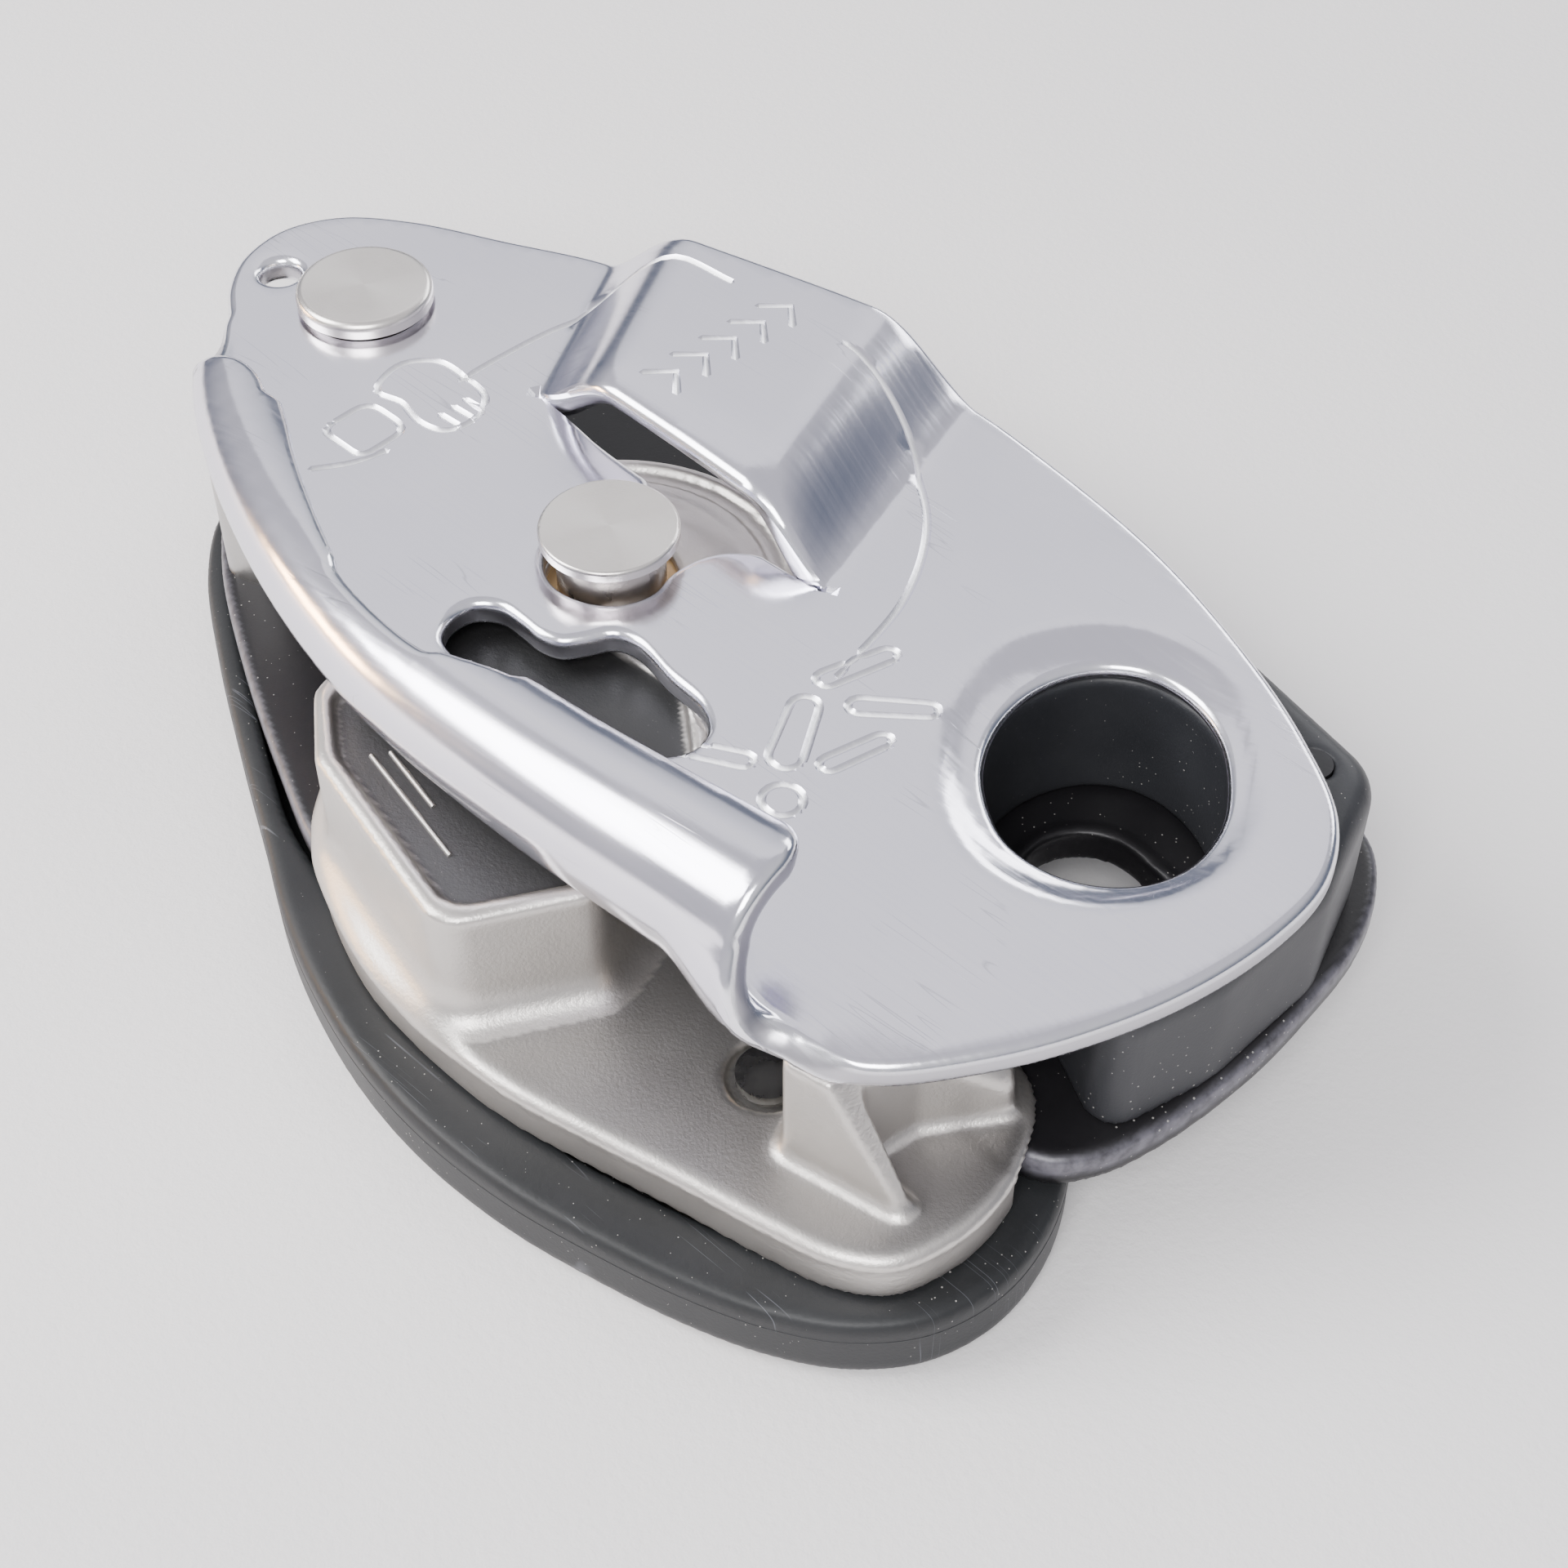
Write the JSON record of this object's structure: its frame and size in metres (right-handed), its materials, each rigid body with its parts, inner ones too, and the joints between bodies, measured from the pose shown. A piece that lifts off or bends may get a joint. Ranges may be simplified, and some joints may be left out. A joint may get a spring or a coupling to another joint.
{
  "type": "rope descender",
  "caption": "Assisted-braking rope descender: two side plates, one swinging open, around a sprung cam with a fold-out handle and an attachment hole.",
  "frame": {"origin": "on the axis of the attachment hole, at the outer face of the fixed side plate", "axes": "+X from the plate pivot towards the attachment end, +Y towards the domed side, +Z from the fixed side plate to the moving side plate"},
  "size_m": [0.1125, 0.0698, 0.0349],
  "materials": {
    "polished_aluminium": "polished",
    "black_anodised": "satin",
    "dark_polymer": "satin",
    "steel": "satin",
    "shoe_steel": "satin",
    "turned_steel": "satin",
    "bronze": "satin",
    "blasted_steel": "matte",
    "spring_steel": "satin",
    "nylon": "matte"
  },
  "bodies": {
    "frame": {"fixed_side_plate": "black_anodised", "carabiner_spacer": "dark_polymer", "spacer_rivet_1": "steel", "spacer_rivet_2": "steel", "spacer_rivet_3": "steel", "friction_shoe": "shoe_steel", "friction_rivet": "steel", "pivot_bush": "bronze", "pivot_rivet": "turned_steel", "pivot_washer": "steel", "cam_axle": "turned_steel", "axle_washer": "steel"},
    "side_plate": {"moving_side_plate": "polished_aluminium"},
    "cam": {"cam": "blasted_steel", "cam_bush": "bronze", "cam_spring": "spring_steel", "handle_pin": "turned_steel"},
    "handle": {"handle_shell": "nylon", "handle_arm": "steel", "handle_washer": "steel", "handle_spring": "spring_steel"}
  },
  "joints": [
    {"name": "side_plate_swing", "type": "hinge", "parent": "frame", "child": "side_plate", "pos_m": [-0.0808, 0, 0.01675], "axis": [0, 0, 1], "range_deg": [-120, 0]},
    {"name": "cam_pivot", "type": "hinge", "parent": "frame", "child": "cam", "pos_m": [-0.0425, -0.0078, 0.009], "axis": [0, 0, 1], "range_deg": [-14, 0], "stiffness_Nm_per_rad": 0.05, "springref_deg": 5.73},
    {"name": "handle_fold", "type": "hinge", "parent": "cam", "child": "handle", "pos_m": [-0.0064, -0.0279, -0.003], "axis": [0, 0, 1], "range_deg": [0, 140], "stiffness_Nm_per_rad": 0.01, "springref_deg": -5.73}
  ]
}
